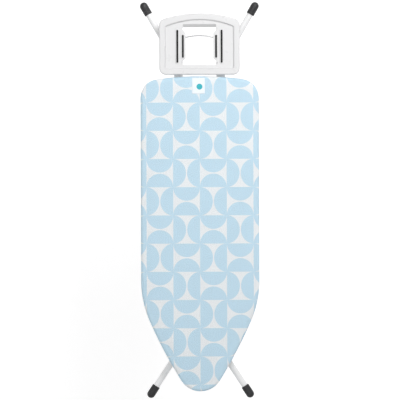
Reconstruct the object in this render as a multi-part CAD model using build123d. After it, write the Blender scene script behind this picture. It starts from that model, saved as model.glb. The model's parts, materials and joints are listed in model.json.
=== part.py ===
from build123d import *
from math import asin, cos, degrees, radians, sin, sqrt, tan
import os

# Folding ironing board, lying folded on its feet with the cover up. Millimetres.
# +X runs from the nose to the iron rest, +Z is up, and X = 0 is the scissor's cross pivot.

# --- Padded board outline -------------------------------------------------------------------
board_half_width = 235.0
nose_tip_x = -760.5
heel_x = 491.5
nose_radius = 90.0
flank_nose_slope = radians(32.0)
flank_side_slope = radians(23.5)
shoulder_radius = 400.0
corner_radius = 75.0
heel_radius = 1270.0

# --- Leg frame ------------------------------------------------------------------------------
arm = 450.0
foot_arm = 773.0
folded_slope = 2.0
open_slope = 49.0
tube_radius = 12.5
tube_wall = 1.2
outer_leg_y = 82.0
inner_leg_y = 54.0
cope_depth = 6.0
outer_foot_y = 221.0
inner_foot_y = 197.0
outer_flare = radians(30.0)
inner_flare = radians(33.3)
flare_bend_radius = 80.0
brace_at = 480.0
brace_radius = 10.0
inner_leg_overhang = 12.0

# --- Feet -----------------------------------------------------------------------------------
cap_radius = 16.0
cap_mouth_radius = 15.7
cap_sleeve = 38.0
cap_wall_end = 3.0
flute_radius = 2.2
flute_stand_off = 0.6
flute_count = 12
flute_margin = 5.0

# --- Pivots ---------------------------------------------------------------------------------
rod_radius = 5.0
bolt_radius = 4.0
bolt_end = 4.0
rack_pin_radius = 3.0
running_gap = 0.05
fixed_gap = 0.02
guide_gap = 0.3

foot_z = cap_radius
cross_pivot_z = foot_z + foot_arm * sin(radians(folded_slope))
rod_z = cross_pivot_z + arm * sin(radians(folded_slope))
hinge_x = -arm * cos(radians(folded_slope))

# --- Heights of the board's layers ----------------------------------------------------------
deck_under_z = 92.0
sheet = 1.5
deck_top_z = deck_under_z + sheet
pad_thickness = 8.0
cover_thickness = 1.4
layer_gap = 0.1
deck_inset = 9.0
flange_depth = 14.0
cover_top_z = deck_top_z + pad_thickness + layer_gap + cover_thickness
cover_under_z = deck_top_z - flange_depth - layer_gap * 5 - cover_thickness
hem_width = 18.0
label_x = 453.5
label_y = 4.5
label_length = 64.0
label_width = 51.0
label_thickness = 0.5

# --- Slide rails ----------------------------------------------------------------------------
rail_inner_y = 104.0
rail_width = 22.0
rail_wall = 2.0
rail_low_x = 96.0
rail_high_x = 474.0
bush_radius = 8.0
bush_length = 15.5
rail_slot = 2 * bush_radius + 1.5
rail_height = rail_slot + 2 * rail_wall
rail_top_z = rod_z + rail_height / 2
bush_inner_y = rail_inner_y + 3.0
bush_outer_y = bush_inner_y + bush_length

# --- Cross members --------------------------------------------------------------------------
crossbar_width = 18.0
crossbar_z = 77.0
crossbar_wall = 2.0
front_crossbar_x = 108.0
heel_crossbar_x = 456.0
crossbar_half_length = rail_inner_y + rail_width
rack_slot_half = 8.0
rack_slot_top = 87.0
rib_depth = 8.0
rib_width = 24.0

# --- Height rack ----------------------------------------------------------------------------
rack_lift = 1.0
rack_hinge_x = -207.5
rack_half = 2.0
rack_side_gap = 0.6
rack_ear = 2.5
rivet_head = 2.0
rack_low_z = rod_z + 0.5
rack_high_z = 79.0
rack_tip_z = 71.0
rack_hinge_z = (rack_low_z + rack_high_z) / 2
rack_tip_x = 459.0
notch_radius = rod_radius + guide_gap
height_slopes = [34.0, 37.0, 40.0, 43.0, 46.0, open_slope]
arm_rod_radius = 4.0
arm_rod_x = 400.0
arm_rod_z = 74.8
grip_inner_y = -152.0
grip_outer_y = -194.0
grip_length = 72.0
grip_low_z = 52.0
grip_wall = 8.0
scoop_radius = 70.0
scoop_depth = 9.0

# --- Iron rest ------------------------------------------------------------------------------
rest_low_x = 497.5
rest_high_x = 741.0
rest_half_width = 160.0
rest_arch = 27.0
rest_corner = 27.0
rest_inner_corner = 8.0
rest_wall = 3.0
rest_rim = 25.0
rest_low_z = 77.5
rest_floor_z = 95.0
rest_rim_z = 101.5
opening_low_x = 537.0
opening_high_x = 686.5
opening_half = 71.0
opening_corner = 7.0
ear_low_x = 562.0
ear_high_x = 661.5
ear_half = 54.6
ear_low_run = 14.0
ear_high_run = 20.0
ear_round = 5.0
collar_low_z = 83.0
slope_run = 12.0
slope_half = opening_half - 6.0
recess_round = 3.0
recess_chamfer = 3.5
strip_x = 610.5
outer_strip_y = 88.0
inner_strip_y = 66.0
outer_strip_length = 131.0
inner_strip_length = 91.0
strip_width = 7.5
strip_height = 3.0
bed_height = 1.5
bed_margin = 4.5
rest_arm_inner_y = 67.0
rest_arm_width = 34.0
rest_arm_low_z = 66.0
rest_arm_high_x = 706.0
boss_xs = [527.0, 698.0]
boss_y = rest_arm_inner_y + rest_arm_width / 2
boss_radius = 7.0
screw_radius = 2.5
screw_length = 13.0
bow_wire_radius = 2.5
bow_x = 653.5
bow_rise = 17.0


def save(name, shape):
    """Write one sub-part to its own STEP file."""
    export_step(shape, f"parts/{name}.step")


def box(low, high):
    """An axis-aligned block between two corners."""
    size = [high[i] - low[i] for i in range(3)]
    return Pos(*low) * Box(*size, align=(Align.MIN, Align.MIN, Align.MIN))


def cross_rod(x, z, radius, low_y, high_y):
    """A round bar along Y."""
    bar = Cylinder(radius, high_y - low_y, align=(Align.CENTER, Align.CENTER, Align.MIN))
    return Pos(x, low_y, z) * Rot(-90, 0, 0) * bar


def both_sides(shape):
    """The shape and its mirror image across the centre line."""
    return Compound(children=[shape, mirror(shape, about=Plane.XZ)])


# --- Board ----------------------------------------------------------------------------------
def board_outline(inset):
    """The padded board's outline, moved inwards by inset, as a face at Z = 0."""
    nose_r = nose_radius - inset
    nose_end = Vector(
        nose_tip_x + nose_radius - nose_r * sin(flank_nose_slope),
        nose_r * cos(flank_nose_slope),
    )
    # The flank is one arc, so its chord lies halfway between the two end slopes.
    rise = board_half_width - shoulder_radius * (1 - cos(flank_side_slope))
    rise -= nose_radius * cos(flank_nose_slope)
    run = rise / tan((flank_nose_slope + flank_side_slope) / 2)
    shoulder_x = nose_tip_x + nose_radius * (1 - sin(flank_nose_slope)) + run
    shoulder_x += shoulder_radius * sin(flank_side_slope)
    shoulder_r = shoulder_radius - inset
    shoulder_y = board_half_width - shoulder_radius
    flank_end = Vector(
        shoulder_x - shoulder_r * sin(flank_side_slope),
        shoulder_y + shoulder_r * cos(flank_side_slope),
    )
    side_y = board_half_width - inset
    heel_centre = heel_x - heel_radius
    corner_y = board_half_width - corner_radius
    reach = heel_radius - corner_radius
    turn = asin(corner_y / reach)
    corner_x = heel_centre + reach * cos(turn)
    heel_r = heel_radius - inset
    corner_end = Vector(heel_centre + heel_r * cos(turn), heel_r * sin(turn))
    side_start = Vector(shoulder_x, side_y)
    side_end = Vector(corner_x, side_y)
    half = Curve() + [
        TangentArc(nose_end, flank_end, tangent=(cos(flank_nose_slope), sin(flank_nose_slope))),
        TangentArc(flank_end, side_start, tangent=(cos(flank_side_slope), sin(flank_side_slope))),
        Line(side_start, side_end),
        TangentArc(side_end, corner_end, tangent=(1, 0)),
    ]
    nose = ThreePointArc(nose_end, (nose_tip_x + inset, 0), (nose_end.X, -nose_end.Y))
    heel = ThreePointArc(corner_end, (heel_x - inset, 0), (corner_end.X, -corner_end.Y))
    return make_face(half + mirror(half, about=Plane.XZ) + nose + heel)


def board_slab(inset, low, high):
    """A flat slab of the board's outline."""
    return extrude(Pos(0, 0, low) * board_outline(inset), high - low)


def rounded_slab(inset, low, high, edge):
    """The same slab with its top edge rounded."""
    slab = board_slab(inset, low, high)
    return fillet(slab.edges().group_by(Axis.Z)[-1], edge)


def deck_panel():
    """Pressed steel deck: a perforated sheet with a turned-down flange."""
    hole_radius = 13.5
    pitch = 44.0
    margin = deck_inset + 34.0
    flange_z = deck_top_z - flange_depth
    deck = board_slab(deck_inset, flange_z, deck_top_z)
    deck -= board_slab(deck_inset + sheet, flange_z - 1, deck_under_z)
    field = board_outline(margin)
    row_pitch = pitch * sqrt(3) / 2
    last_row = round(-nose_tip_x / row_pitch)
    last_column = round(board_half_width / pitch)
    spots = []
    for row in range(-last_row, last_row):
        for column in range(-last_column, last_column + 1):
            spot = Vector(row * row_pitch, (column + row % 2 / 2) * pitch)
            if field.faces()[0].is_inside(spot):
                spots.append((spot.X, spot.Y))
    holes = Sketch() + [Pos(*spot) * Circle(hole_radius) for spot in spots]
    return deck - extrude(Pos(0, 0, deck_under_z - 1) * holes, sheet + 2)


def foam_pad():
    """Foam pad over the deck, lapping down its edge."""
    lip_z = deck_top_z - flange_depth + 2
    pad = rounded_slab(cover_thickness + layer_gap, lip_z, deck_top_z + pad_thickness, 6.5)
    return pad - board_slab(deck_inset - layer_gap, lip_z - 1, deck_top_z)


def cover_cloth():
    """Tight cloth cover with a hem turned in under the deck."""
    cover = rounded_slab(0, cover_under_z, cover_top_z, 8.0)
    inside_low = cover_under_z + cover_thickness
    inside_high = cover_top_z - cover_thickness
    cover -= rounded_slab(cover_thickness, inside_low, inside_high, 6.6)
    cover -= board_slab(hem_width, cover_under_z - 1, inside_low + 1)
    return cover - label_block(label_thickness + fixed_gap, fixed_gap)


def label_block(depth, margin):
    """A round-cornered block under the cover's top, as large as the label and its margin."""
    size = [label_length + 2 * margin, label_width + 2 * margin]
    block = Pos(label_x, label_y, cover_top_z) * Box(
        *size, depth, align=(Align.CENTER, Align.CENTER, Align.MAX)
    )
    return fillet(block.edges().filter_by(Axis.Z), 3.0)


def cover_label():
    """Cloth label sewn flush into the cover's heel end."""
    return label_block(label_thickness, 0.0)


def rib(x, half_length):
    """A shallow U-channel welded across the underside of the deck."""
    low_z = deck_under_z - rib_depth
    outer = box((x - rib_width / 2, -half_length, low_z), (x + rib_width / 2, half_length, deck_under_z))
    inner = box(
        (x - rib_width / 2 + sheet, -half_length - 1, low_z + sheet),
        (x + rib_width / 2 - sheet, half_length + 1, deck_under_z + 1),
    )
    return outer - inner


def crossbar(x):
    """A deep U-channel that carries the rails, slotted in the middle for the height rack."""
    low_x = x - crossbar_width / 2
    high_x = x + crossbar_width / 2
    bar = box((low_x, -crossbar_half_length, crossbar_z), (high_x, crossbar_half_length, deck_under_z))
    bar -= box(
        (low_x + crossbar_wall, -crossbar_half_length - 1, crossbar_z + crossbar_wall),
        (high_x - crossbar_wall, crossbar_half_length + 1, deck_under_z + 1),
    )
    return bar - box(
        (low_x - 1, -rack_slot_half, crossbar_z - 1), (high_x + 1, rack_slot_half, rack_slot_top)
    )


def rail_hangers(x):
    """A pair of folded spacers between a crossbar and the two rails."""
    low = (x - crossbar_width / 2, rail_inner_y, rail_top_z)
    high = (x + crossbar_width / 2, rail_inner_y + rail_width, crossbar_z)
    block = box(low, high)
    block -= box(
        (low[0] - 1, low[1] + rail_wall, low[2] + rail_wall),
        (high[0] + 1, high[1] - rail_wall, high[2] - rail_wall),
    )
    return both_sides(block)


def slide_rail():
    """C-channel, open towards the centre line, that guides the inner leg's slide bush."""
    low_z = rod_z - rail_height / 2
    rail = box((rail_low_x, rail_inner_y, low_z), (rail_high_x, rail_inner_y + rail_width, rail_top_z))
    return rail - box(
        (rail_low_x - 1, rail_inner_y - 1, low_z + rail_wall),
        (rail_high_x + 1, rail_inner_y + rail_width - rail_wall, rail_top_z - rail_wall),
    )


# --- Outer leg's fixed hinge ----------------------------------------------------------------
hinge_tube_half = 140.0
hinge_flange = 3.0
ear_inner_y = hinge_tube_half + hinge_flange + guide_gap
ear_thickness = 3.0
hinge_rod_half = ear_inner_y + ear_thickness + 4.0


def hinge_bracket():
    """Pressed bracket under the deck: a base flange and one ear for the hinge rod."""
    ear_radius = 17.0
    base_width = 28.0
    ear = cross_rod(hinge_x, rod_z, ear_radius, ear_inner_y, ear_inner_y + ear_thickness)
    ear += box(
        (hinge_x - ear_radius, ear_inner_y, rod_z),
        (hinge_x + ear_radius, ear_inner_y + ear_thickness, deck_under_z),
    )
    base = box(
        (hinge_x - ear_radius, ear_inner_y, deck_under_z - ear_thickness),
        (hinge_x + ear_radius, ear_inner_y + base_width, deck_under_z),
    )
    hole = cross_rod(hinge_x, rod_z, rod_radius + fixed_gap, ear_inner_y - 1, ear_inner_y + 5)
    return ear + base - hole


def hinge_rod():
    """Steel rod that the outer leg turns on."""
    return cross_rod(hinge_x, rod_z, rod_radius, -hinge_rod_half, hinge_rod_half)


def hinge_rod_caps():
    """Push-on caps on the rod's ends."""
    low_y = ear_inner_y + ear_thickness
    cap = cross_rod(hinge_x, rod_z, rod_radius + 3.5, low_y, hinge_rod_half + 2.0)
    cap -= cross_rod(hinge_x, rod_z, rod_radius + fixed_gap, low_y - 1, hinge_rod_half + fixed_gap)
    return both_sides(cap)


# --- Leg frames, each modelled flat about the cross pivot ---------------------------------------
outer_place = Pos(0, 0, cross_pivot_z) * Rot(0, folded_slope, 0)
inner_place = Pos(0, 0, cross_pivot_z) * Rot(0, -folded_slope, 0)


def leg_tube(start_x, side_y, foot_y, flare):
    """A bent round tube, its foot end towards +X."""
    bend_x = foot_arm - (foot_y - side_y) / tan(flare)
    end = (foot_arm - cap_wall_end * cos(flare), foot_y - cap_wall_end * sin(flare), 0)
    path = FilletPolyline((start_x, side_y, 0), (bend_x, side_y, 0), end, radius=flare_bend_radius)
    section = Plane(origin=(start_x, side_y, 0), z_dir=(1, 0, 0)) * (
        Circle(tube_radius) - Circle(tube_radius - tube_wall)
    )
    return sweep(section, path=path)


def foot_cap(foot_y, flare):
    """Domed, fluted end cap pushed over a tube end."""
    cap = Pos(0, 0, -cap_sleeve) * Cone(
        cap_mouth_radius, cap_radius, cap_sleeve, align=(Align.CENTER, Align.CENTER, Align.MIN)
    )
    cap += Sphere(cap_radius)
    cap -= Pos(0, 0, -cap_wall_end + fixed_gap) * Cylinder(
        tube_radius + fixed_gap, cap_sleeve, align=(Align.CENTER, Align.CENTER, Align.MAX)
    )
    flute_length = cap_sleeve - 2 * flute_margin
    flute = Cylinder(flute_radius, flute_length, align=(Align.CENTER, Align.CENTER, Align.MAX))
    for index in range(flute_count):
        turn = Rot(0, 0, (index + 0.5) * 360.0 / flute_count)
        cap -= turn * Pos(cap_radius + flute_stand_off, 0, -flute_margin) * flute
    return Pos(foot_arm, foot_y, 0) * Rot(0, 0, degrees(flare)) * Rot(0, 90, 0) * cap


def outer_leg_tube():
    """Left tube of the outer leg, coped onto the hinge tube and drilled for the pivot bolt."""
    tube = leg_tube(-arm + cope_depth, outer_leg_y, outer_foot_y, outer_flare)
    tube -= cross_rod(-arm, 0, tube_radius + fixed_gap, outer_leg_y - 20, outer_leg_y + 20)
    tube -= cross_rod(0, 0, bolt_radius + fixed_gap, outer_leg_y - 20, outer_leg_y + 20)
    return tube


def inner_leg_tube():
    """Left tube of the inner leg, drilled for the pivot bolt and the slide rod."""
    tube = leg_tube(-arm - inner_leg_overhang, inner_leg_y, inner_foot_y, inner_flare)
    tube -= cross_rod(0, 0, bolt_radius + running_gap, inner_leg_y - 20, inner_leg_y + 20)
    tube -= cross_rod(-arm, 0, rod_radius + fixed_gap, inner_leg_y - 20, inner_leg_y + 20)
    return tube


def leg_brace(side_y):
    """Cross tube between the two tubes of a leg, coped at both ends."""
    brace = cross_rod(brace_at, 0, brace_radius, -side_y, side_y)
    brace -= cross_rod(brace_at, 0, brace_radius - tube_wall, -side_y - 1, side_y + 1)
    for side in (-1, 1):
        brace -= Pos(brace_at, side * side_y, 0) * Rot(0, 90, 0) * Cylinder(tube_radius + fixed_gap, 60)
    return brace


def hinge_tube():
    """Cross tube at the top of the outer leg."""
    tube = cross_rod(-arm, 0, tube_radius, -hinge_tube_half, hinge_tube_half)
    return tube - cross_rod(-arm, 0, tube_radius - tube_wall, -hinge_tube_half - 1, hinge_tube_half + 1)


def hinge_bushes():
    """Flanged nylon bushes in the hinge tube's ends."""
    bore_depth = 24.0
    low_y = hinge_tube_half - bore_depth
    high_y = hinge_tube_half + hinge_flange
    bush = cross_rod(-arm, 0, tube_radius - tube_wall - fixed_gap, low_y, high_y)
    bush += cross_rod(-arm, 0, tube_radius, hinge_tube_half, high_y)
    bush -= cross_rod(-arm, 0, rod_radius + running_gap, low_y - 1, high_y + 1)
    return both_sides(bush)


def cross_bolts():
    """Pan-head bolts of the cross pivot, heads inwards."""
    head_high_y = inner_leg_y - tube_radius - guide_gap
    bolt = cross_rod(0, 0, bolt_radius, head_high_y, outer_leg_y + tube_radius + bolt_end)
    bolt += cross_rod(0, 0, bolt_radius * 2, head_high_y - bolt_radius, head_high_y)
    return both_sides(bolt)


def cross_nuts():
    """Cap nuts on the outside of the outer leg."""
    low_y = outer_leg_y + tube_radius
    profile = Plane.XZ.offset(-low_y) * RegularPolygon(7.5, 6)
    nut = extrude(profile, -2 * bolt_end)
    nut -= cross_rod(0, 0, bolt_radius + fixed_gap, low_y - 1, low_y + bolt_end + fixed_gap)
    return both_sides(nut)


def cross_spacers():
    """Nylon washers between the two legs."""
    low_y = inner_leg_y + tube_radius + layer_gap
    high_y = outer_leg_y - tube_radius - fixed_gap
    spacer = cross_rod(0, 0, 11.0, low_y, high_y)
    return both_sides(spacer - cross_rod(0, 0, bolt_radius + fixed_gap, low_y - 1, high_y + 1))


def slide_rod():
    """Steel rod across the top of the inner leg."""
    return cross_rod(-arm, 0, rod_radius, -bush_outer_y, bush_outer_y)


def slide_bush():
    """Nylon bush that runs in a rail, on the left."""
    bush = cross_rod(-arm, 0, bush_radius, bush_inner_y, bush_outer_y)
    return bush - cross_rod(-arm, 0, rod_radius + fixed_gap, bush_inner_y - 1, bush_outer_y + 1)


def inner_leg_plugs():
    """Plastic plugs in the open top ends of the inner leg."""
    head = Cylinder(tube_radius, 2.0, align=(Align.CENTER, Align.CENTER, Align.MAX))
    stem_radius = tube_radius - tube_wall - fixed_gap
    stem = Cylinder(stem_radius, 5.0, align=(Align.CENTER, Align.CENTER, Align.MIN))
    plug = Pos(-arm - inner_leg_overhang, inner_leg_y, 0) * Rot(0, 90, 0) * (head + stem)
    return both_sides(plug)


# --- Height rack, drawn engaged on the slide rod and then lifted ------------------------------------
def lifted(shape):
    """Turn a piece of the lever about the rack's hinge, up off the slide rod."""
    about = Pos(rack_hinge_x, 0, rack_hinge_z)
    return about * Rot(0, -rack_lift, 0) * about.inverse() * shape


def slide_x(slope):
    """Where the slide rod stands in the rails at a leg slope in degrees."""
    return hinge_x + 2 * arm * cos(radians(slope))


def height_rack():
    """Notched steel bar that hooks over the slide rod."""
    profile = Plane.XZ * make_face(
        Polyline(
            (rack_hinge_x - 10, rack_low_z),
            (rack_tip_x, rack_low_z),
            (rack_tip_x, rack_tip_z),
            (arm_rod_x + 30, rack_tip_z),
            (arm_rod_x + 10, rack_high_z),
            (rack_hinge_x - 10, rack_high_z),
            close=True,
        )
    )
    rack = extrude(profile, rack_half, both=True)
    for slope in [folded_slope, *height_slopes]:
        x = slide_x(slope)
        rack -= cross_rod(x, rod_z, notch_radius, -rack_half - 1, rack_half + 1)
    pin_hole = cross_rod(rack_hinge_x, rack_hinge_z, rack_pin_radius + running_gap, -5, 5)
    return lifted(rack - pin_hole)


def release_arm():
    """Round bar from the rack out to the grip at the board's right edge."""
    return lifted(cross_rod(arm_rod_x, arm_rod_z, arm_rod_radius, grip_outer_y + grip_wall, -rack_half))


def release_grip():
    """Plastic grip with a finger scoop underneath."""
    grip = box(
        (arm_rod_x - grip_length / 2, grip_outer_y, grip_low_z),
        (arm_rod_x + grip_length / 2, grip_inner_y, rack_high_z),
    )
    grip = fillet(grip.edges().filter_by(Axis.Z), 9.0)
    grip = fillet(grip.edges().group_by(Axis.Z)[-1], 3.0)
    scoop_z = grip_low_z - scoop_radius + scoop_depth
    grip -= cross_rod(arm_rod_x, scoop_z, scoop_radius, grip_outer_y - 1, grip_inner_y + 1)
    socket_end = grip_outer_y + grip_wall - fixed_gap
    socket = cross_rod(arm_rod_x, arm_rod_z, arm_rod_radius + fixed_gap, socket_end, grip_inner_y + 1)
    return lifted(grip - socket)


def rack_bracket():
    """U-bracket under the deck that holds the rack's hinge pin."""
    half_x = 14.0
    low_z = rack_hinge_z - 9.0
    ear_low_y = rack_half + rack_side_gap
    ear_high_y = ear_low_y + rack_ear
    low = (rack_hinge_x - half_x, ear_low_y, low_z)
    ear = box(low, (rack_hinge_x + half_x, ear_high_y, deck_under_z))
    foot = box(
        (rack_hinge_x - half_x, ear_low_y, deck_under_z - rack_ear),
        (rack_hinge_x + half_x, ear_high_y + 14.0, deck_under_z),
    )
    web = box(
        (rack_hinge_x - half_x, -ear_high_y, deck_under_z - rack_ear),
        (rack_hinge_x + half_x, ear_high_y, deck_under_z),
    )
    side = ear + foot
    bracket = side + mirror(side, about=Plane.XZ) + web
    return bracket - cross_rod(rack_hinge_x, rack_hinge_z, rack_pin_radius + fixed_gap, -20, 20)


def rack_pin():
    """Rivet that the rack turns on."""
    head_y = rack_half + rack_side_gap + rack_ear
    half = head_y + rivet_head
    pin = cross_rod(rack_hinge_x, rack_hinge_z, rack_pin_radius, -half, half)
    head = cross_rod(rack_hinge_x, rack_hinge_z, rack_pin_radius * 1.7, head_y + fixed_gap, half)
    return pin + head + mirror(head, about=Plane.XZ)


def rack_spring():
    """Leaf spring that presses the rack down onto the slide rod."""
    low_x = -175.0
    bend_x = -140.0
    tip_x = -70.0
    thick = 1.0
    tip_z = rack_high_z + (tip_x - rack_hinge_x) * tan(radians(rack_lift)) + guide_gap
    profile = Plane.XZ * make_face(
        Polyline(
            (low_x, deck_under_z),
            (bend_x, deck_under_z),
            (tip_x, tip_z + thick),
            (tip_x + 8, tip_z + thick + 2),
            (tip_x + 8, tip_z + 2),
            (tip_x, tip_z),
            (bend_x, deck_under_z - thick),
            (low_x, deck_under_z - thick),
            close=True,
        )
    )
    return extrude(profile, 6.0, both=True)


# --- Iron rest --------------------------------------------------------------------------------
def rest_outline(inset):
    """The tray's outline, moved inwards by inset: straight front, bowed back, round corners."""
    side_y = rest_half_width - inset
    low_x = rest_low_x + inset
    high_x = rest_high_x - inset
    corner_x = rest_high_x - rest_arch - inset
    outline = Polyline((corner_x, side_y), (low_x, side_y), (low_x, -side_y), (corner_x, -side_y))
    back = ThreePointArc((corner_x, -side_y), (high_x, 0), (corner_x, side_y))
    face = make_face(Curve() + outline.edges() + back)
    return fillet(face.vertices(), max(rest_corner - inset, rest_inner_corner))


def rest_slab(inset, low, high):
    """A flat slab of the tray's outline."""
    return extrude(Pos(0, 0, low) * rest_outline(inset), high - low)


def opening_outline():
    """The tray's opening, narrowed on both sides by the ears that carry the inner strips."""
    shape = Pos((opening_low_x + opening_high_x) / 2, 0) * Rectangle(
        opening_high_x - opening_low_x, 2 * opening_half
    )
    shape = fillet(shape.vertices(), opening_corner)
    ear = make_face(
        Polyline(
            (ear_low_x - ear_low_run, opening_half),
            (ear_low_x, ear_half),
            (ear_high_x, ear_half),
            (ear_high_x + ear_high_run, opening_half),
            (ear_high_x + ear_high_run, opening_half + 1),
            (ear_low_x - ear_low_run, opening_half + 1),
            close=True,
        )
    )
    inner_corners = [corner for corner in ear.vertices() if corner.Y < opening_half - 1]
    ear = fillet(inner_corners, ear_round)
    return shape - ear - mirror(ear, about=Plane.XZ)


def strip_block(y, length, width, low_z, height):
    """A long round-ended block on the tray, along X."""
    return extrude(Pos(strip_x, y, low_z) * SlotOverall(length, width), height)


def rest_recess():
    """The sunk part of the tray: a rounded foot to its walls and a chamfered top edge."""
    recess = rest_slab(rest_rim, rest_floor_z, rest_rim_z + 1)
    recess = fillet(recess.edges().group_by(Axis.Z)[0], recess_round)
    top = Pos(0, 0, rest_rim_z - recess_chamfer) * rest_outline(rest_rim)
    return recess + extrude(top, recess_chamfer + 1, taper=-45.0)


def heel_slope():
    """A wedge above the slope that leads from the tray's floor down to the opening's heel side."""
    top_z = rest_floor_z + 1
    reach = slope_run * (top_z - collar_low_z) / (rest_floor_z - collar_low_z)
    profile = Plane.XZ * make_face(
        Polyline(
            (opening_high_x - 1, collar_low_z),
            (opening_high_x, collar_low_z),
            (opening_high_x + reach, top_z),
            (opening_high_x - 1, top_z),
            close=True,
        )
    )
    return extrude(profile, slope_half, both=True)


def strip_bed(y, length):
    """Raised bed on the tray's floor under one strip, its top edge rounded."""
    bed = strip_block(y, length + 2 * bed_margin, strip_width + 2 * bed_margin, rest_floor_z, bed_height)
    return fillet(bed.edges().group_by(Axis.Z)[-1], bed_height * 0.8)


def rest_tray():
    """Plastic iron rest: raised hollow rim, sunk floor, opening with a collar, screw bosses."""
    tray = rest_slab(0, rest_low_z, rest_rim_z)
    tray = fillet(tray.edges().group_by(Axis.Z)[-1], 5.0)
    under_z = rest_floor_z - rest_wall
    tray -= rest_recess()
    tray -= rest_slab(rest_wall, rest_low_z - 1, under_z)
    hollow = rest_slab(rest_wall, under_z - 1, rest_rim_z - rest_wall)
    tray -= hollow - rest_slab(rest_rim - rest_wall, under_z - 2, rest_rim_z)
    collar = offset(opening_outline(), rest_wall)
    tray += extrude(Pos(0, 0, collar_low_z) * collar, rest_floor_z - collar_low_z)
    tray += box(
        (opening_high_x, -slope_half - rest_wall, collar_low_z),
        (opening_high_x + slope_run + 2.0, slope_half + rest_wall, rest_floor_z),
    )
    tray -= heel_slope()
    for x in boss_xs:
        for side in (-1, 1):
            low = Pos(x, side * boss_y, crossbar_z)
            tray += low * Cylinder(
                boss_radius, under_z - crossbar_z, align=(Align.CENTER, Align.CENTER, Align.MIN)
            )
            tray -= low * Cylinder(screw_radius + fixed_gap, 2 * screw_length)
    for side in (-1, 1):
        tray += strip_bed(side * outer_strip_y, outer_strip_length)
        tray += strip_bed(side * inner_strip_y, inner_strip_length)
    return tray - extrude(Pos(0, 0, collar_low_z - 1) * opening_outline(), 30.0)


def rest_strip(y, length):
    """A heat-proof silicone strip that the iron lies on."""
    strip = strip_block(y, length, strip_width, rest_floor_z + bed_height, strip_height)
    return fillet(strip.edges().group_by(Axis.Z)[-1], 1.2)


def rest_arm():
    """U-channel from the heel crossbar out under the tray, on the left."""
    low = (heel_crossbar_x - crossbar_width / 2 + 3.0, rest_arm_inner_y, rest_arm_low_z)
    high = (rest_arm_high_x, rest_arm_inner_y + rest_arm_width, crossbar_z)
    bar = box(low, high)
    bar -= box(
        (low[0] - 1, low[1] + rail_wall, low[2] - 1),
        (high[0] + 1, high[1] - rail_wall, high[2] - rail_wall),
    )
    for x in boss_xs:
        bar -= Pos(x, boss_y, crossbar_z) * Cylinder(screw_radius + fixed_gap, 10.0)
    return bar


def rest_bow():
    """Steel wire bow that ties the two arms together across the opening."""
    low_x = bow_x - bow_rise
    path = ThreePointArc((low_x, -boss_y, 0), (bow_x, 0, 0), (low_x, boss_y, 0))
    section = Plane(origin=path @ 0, z_dir=path % 0) * Circle(bow_wire_radius)
    return Pos(0, 0, crossbar_z + bow_wire_radius) * sweep(section, path=path)


def rest_screws():
    """Screws up through the arms into the tray's bosses."""
    head_z = crossbar_z - rail_wall
    head = Cylinder(screw_radius * 2, 2.5, align=(Align.CENTER, Align.CENTER, Align.MAX))
    shank = Cylinder(screw_radius, screw_length, align=(Align.CENTER, Align.CENTER, Align.MIN))
    screws = []
    for x in boss_xs:
        for side in (-1, 1):
            screws.append(Pos(x, side * boss_y, head_z) * (head + shank))
    return Compound(children=screws)


# --- Write every sub-part ------------------------------------------------------------------------
def save_pair(name, shape):
    """Save a left-hand piece and its right-hand mirror image."""
    save(f"{name}_left", shape)
    save(f"{name}_right", mirror(shape, about=Plane.XZ))


def main():
    os.makedirs("parts", exist_ok=True)

    save("deck_panel", deck_panel())
    save("foam_pad", foam_pad())
    save("cover_cloth", cover_cloth())
    save("cover_label", cover_label())
    save("nose_rib", rib(-590.0, 105.0))
    save("front_rib", rib(-330.0, 205.0))
    save("middle_rib", rib(-20.0, 212.0))
    save("front_crossbar", crossbar(front_crossbar_x))
    save("heel_crossbar", crossbar(heel_crossbar_x))
    save("front_rail_hangers", rail_hangers(front_crossbar_x))
    save("heel_rail_hangers", rail_hangers(heel_crossbar_x))
    save_pair("slide_rail", slide_rail())
    save_pair("hinge_bracket", hinge_bracket())
    save("hinge_rod", hinge_rod())
    save("hinge_rod_caps", hinge_rod_caps())
    save("rack_bracket", rack_bracket())
    save("rack_pin", rack_pin())
    save("rack_spring", rack_spring())

    save_pair("outer_leg_tube", outer_place * outer_leg_tube())
    save("outer_leg_hinge_tube", outer_place * hinge_tube())
    save("outer_leg_brace", outer_place * leg_brace(outer_leg_y))
    save("hinge_bushes", outer_place * hinge_bushes())
    save_pair("outer_foot_cap", outer_place * foot_cap(outer_foot_y, outer_flare))
    save("cross_pivot_bolts", outer_place * cross_bolts())
    save("cross_pivot_nuts", outer_place * cross_nuts())
    save("cross_pivot_spacers", outer_place * cross_spacers())

    # The inner leg is drawn with its feet towards +X and then turned round to the nose.
    turned = inner_place * Rot(0, 0, 180)
    save_pair("inner_leg_tube", turned * mirror(inner_leg_tube(), about=Plane.XZ))
    save("inner_leg_brace", turned * leg_brace(inner_leg_y))
    save("slide_rod", turned * slide_rod())
    save_pair("slide_bush", turned * mirror(slide_bush(), about=Plane.XZ))
    save("inner_leg_plugs", turned * inner_leg_plugs())
    save_pair("inner_foot_cap", turned * mirror(foot_cap(inner_foot_y, inner_flare), about=Plane.XZ))

    save("height_rack", height_rack())
    save("release_arm", release_arm())
    save("release_grip", release_grip())

    save("rest_tray", rest_tray())
    save_pair("rest_outer_strip", rest_strip(outer_strip_y, outer_strip_length))
    save_pair("rest_inner_strip", rest_strip(inner_strip_y, inner_strip_length))
    save_pair("rest_arm", rest_arm())
    save("rest_bow", rest_bow())
    save("rest_screws", rest_screws())


main()
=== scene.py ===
import json
import math

import bmesh
import bpy
from mathutils import Matrix, Vector
from mathutils.bvhtree import BVHTree
from mathutils.geometry import delaunay_2d_cdt


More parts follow.
